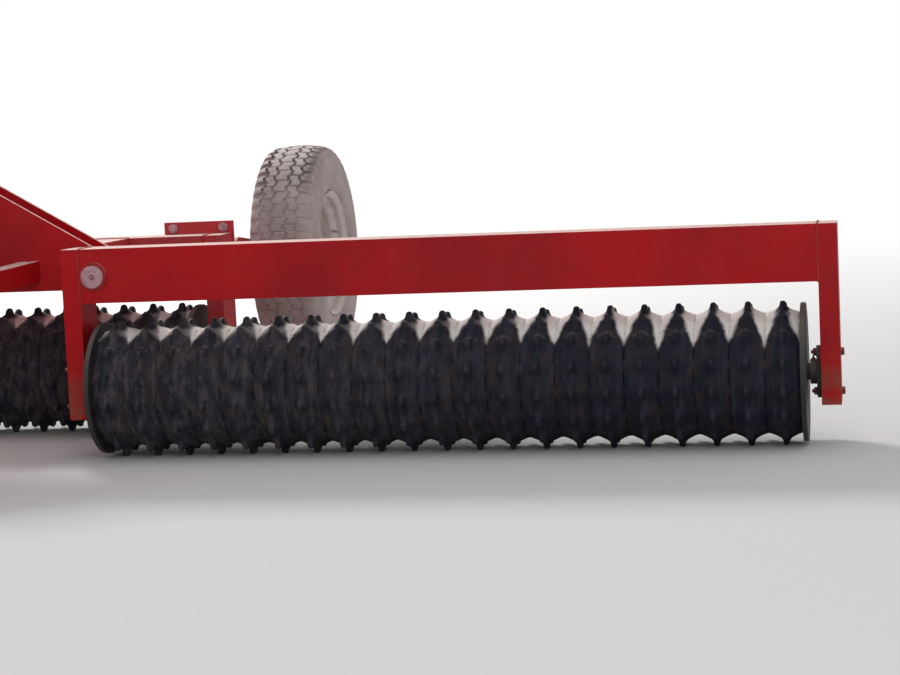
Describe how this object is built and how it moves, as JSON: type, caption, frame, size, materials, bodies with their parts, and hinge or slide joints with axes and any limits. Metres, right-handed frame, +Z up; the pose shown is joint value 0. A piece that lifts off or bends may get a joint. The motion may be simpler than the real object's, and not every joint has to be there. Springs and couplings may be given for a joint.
{
  "type": "trailed folding land roller with lugged rings",
  "caption": "Trailed land roller: a centre gang and two folding wing gangs of lugged cast rings on box-beam frames, with lifting transport wheels, drawbar and parking jack.",
  "frame": {"origin": "ground level under the middle of the machine's box", "axes": "+X across the machine to the right as seen from its front, -Y the direction of travel, +Z up"},
  "size_m": [7.238, 4.6188, 1.14],
  "materials": {
    "frame_red": "satin, dusty",
    "ring_iron": "rough cast with soil",
    "shaft_steel": "dull, soiled",
    "bearing_iron": "matt black",
    "tyre": "dusty rubber",
    "rim_grey": "satin, dusty",
    "rod_chrome": "polished",
    "cylinder_black": "gloss, dusty",
    "pin_steel": "plated, dull",
    "jack_grey": "zinc grey"
  },
  "bodies": {
    "frame": {"headstock_front": "frame_red", "headstock_rear": "frame_red", "headstock_tube": "frame_red", "fold_base_pins": "pin_steel", "lift_base": "frame_red", "side_arm_left": "frame_red", "side_arm_right": "frame_red", "centre_beam": "frame_red", "leg_centre_left": "frame_red", "leg_centre_right": "frame_red", "bearing_centre_left": "bearing_iron", "bearing_centre_right": "bearing_iron", "axle_bracket_left": "frame_red", "axle_bracket_right": "frame_red", "drawbar": "frame_red", "drawbar_brace_left": "frame_red", "drawbar_brace_right": "frame_red", "hitch_eye": "pin_steel", "jack_tube": "jack_grey"},
    "wing_left": {"wing_beam_left": "frame_red", "leg_inner_left": "frame_red", "leg_outer_left": "frame_red", "bearing_inner_left": "bearing_iron", "bearing_outer_left": "bearing_iron", "fold_pin_left": "pin_steel", "fold_lever_left": "frame_red"},
    "gang_left": {"rings_left": "ring_iron", "shaft_left": "shaft_steel"},
    "fold_barrel_left": {"fold_barrel_left": "cylinder_black"},
    "fold_rod_left": {"fold_rod_left": "rod_chrome"},
    "wheel_left": {"tyre_left": "tyre", "rim_left": "rim_grey"},
    "wing_right": {"wing_beam_right": "frame_red", "leg_inner_right": "frame_red", "leg_outer_right": "frame_red", "bearing_inner_right": "bearing_iron", "bearing_outer_right": "bearing_iron", "fold_pin_right": "pin_steel", "fold_lever_right": "frame_red"},
    "gang_right": {"rings_right": "ring_iron", "shaft_right": "shaft_steel"},
    "fold_barrel_right": {"fold_barrel_right": "cylinder_black"},
    "fold_rod_right": {"fold_rod_right": "rod_chrome"},
    "wheel_right": {"tyre_right": "tyre", "rim_right": "rim_grey"},
    "gang_centre": {"rings_centre": "ring_iron", "shaft_centre": "shaft_steel"},
    "axle": {"axle_tube": "frame_red", "axle_arm_left": "frame_red", "axle_arm_right": "frame_red"},
    "lift_barrel": {"lift_barrel": "cylinder_black"},
    "lift_rod": {"lift_rod": "rod_chrome"},
    "jack_leg": {"jack_leg": "jack_grey"}
  },
  "joints": [
    {"name": "wing_left_fold", "type": "hinge", "parent": "frame", "child": "wing_left", "pos_m": [-0.844, 0.45061, 0.695], "axis": [0, 1, 0], "range_deg": [-6, 90]},
    {"name": "gang_left_roll", "type": "hinge", "parent": "wing_left", "child": "gang_left", "pos_m": [-2.1685, 0.45061, 0.262], "axis": [1, 0, 0], "continuous": true},
    {"name": "fold_barrel_left_tilt", "type": "hinge", "parent": "frame", "child": "fold_barrel_left", "pos_m": [-0.28, 0.62511, 0.985], "axis": [0, 1, 0], "range_deg": [-10, 10]},
    {"name": "fold_rod_left_slide", "type": "slide", "parent": "fold_barrel_left", "child": "fold_rod_left", "axis": [-0.7783, 0, -0.6279], "range_m": [-0.03, 0.23]},
    {"name": "wing_right_fold", "type": "hinge", "parent": "frame", "child": "wing_right", "pos_m": [0.844, 0.45061, 0.695], "axis": [0, -1, 0], "range_deg": [-6, 90]},
    {"name": "gang_right_roll", "type": "hinge", "parent": "wing_right", "child": "gang_right", "pos_m": [2.1685, 0.45061, 0.262], "axis": [1, 0, 0], "continuous": true},
    {"name": "fold_barrel_right_tilt", "type": "hinge", "parent": "frame", "child": "fold_barrel_right", "pos_m": [0.28, 0.62511, 0.985], "axis": [0, -1, 0], "range_deg": [-10, 10]},
    {"name": "fold_rod_right_slide", "type": "slide", "parent": "fold_barrel_right", "child": "fold_rod_right", "axis": [0.7783, 0, -0.6279], "range_m": [-0.03, 0.23]},
    {"name": "gang_centre_roll", "type": "hinge", "parent": "frame", "child": "gang_centre", "pos_m": [0, 1.15061, 0.262], "axis": [1, 0, 0], "continuous": true},
    {"name": "axle_swing", "type": "hinge", "parent": "frame", "child": "axle", "pos_m": [0, 1.33561, 0.7], "axis": [-1, 0, 0], "range_deg": [0, 56]},
    {"name": "wheel_left_turn", "type": "hinge", "parent": "axle", "child": "wheel_left", "pos_m": [-1.295, 1.83439, 0.665], "axis": [1, 0, 0], "continuous": true},
    {"name": "wheel_right_turn", "type": "hinge", "parent": "axle", "child": "wheel_right", "pos_m": [1.295, 1.83439, 0.665], "axis": [1, 0, 0], "continuous": true},
    {"name": "lift_barrel_tilt", "type": "hinge", "parent": "frame", "child": "lift_barrel", "pos_m": [0, 0.76261, 0.9], "axis": [-1, 0, 0], "range_deg": [-10, 10]},
    {"name": "lift_rod_slide", "type": "slide", "parent": "lift_barrel", "child": "lift_rod", "axis": [0, 0.9999, -0.0131], "range_m": [0, 0.21]},
    {"name": "jack_slide", "type": "slide", "parent": "frame", "child": "jack_leg", "axis": [0, 0, 1], "range_m": [0, 0.3]}
  ],
  "couplings": [
    {"joint": "fold_barrel_left_tilt", "follows": "wing_left_fold", "ratio": 0.019},
    {"joint": "fold_rod_left_slide", "follows": "wing_left_fold", "m_per_rad": 0.13484},
    {"joint": "fold_barrel_right_tilt", "follows": "wing_right_fold", "ratio": 0.019},
    {"joint": "fold_rod_right_slide", "follows": "wing_right_fold", "m_per_rad": 0.13484},
    {"joint": "lift_barrel_tilt", "follows": "axle_swing", "ratio": 0.037},
    {"joint": "lift_rod_slide", "follows": "axle_swing", "m_per_rad": 0.19269}
  ]
}
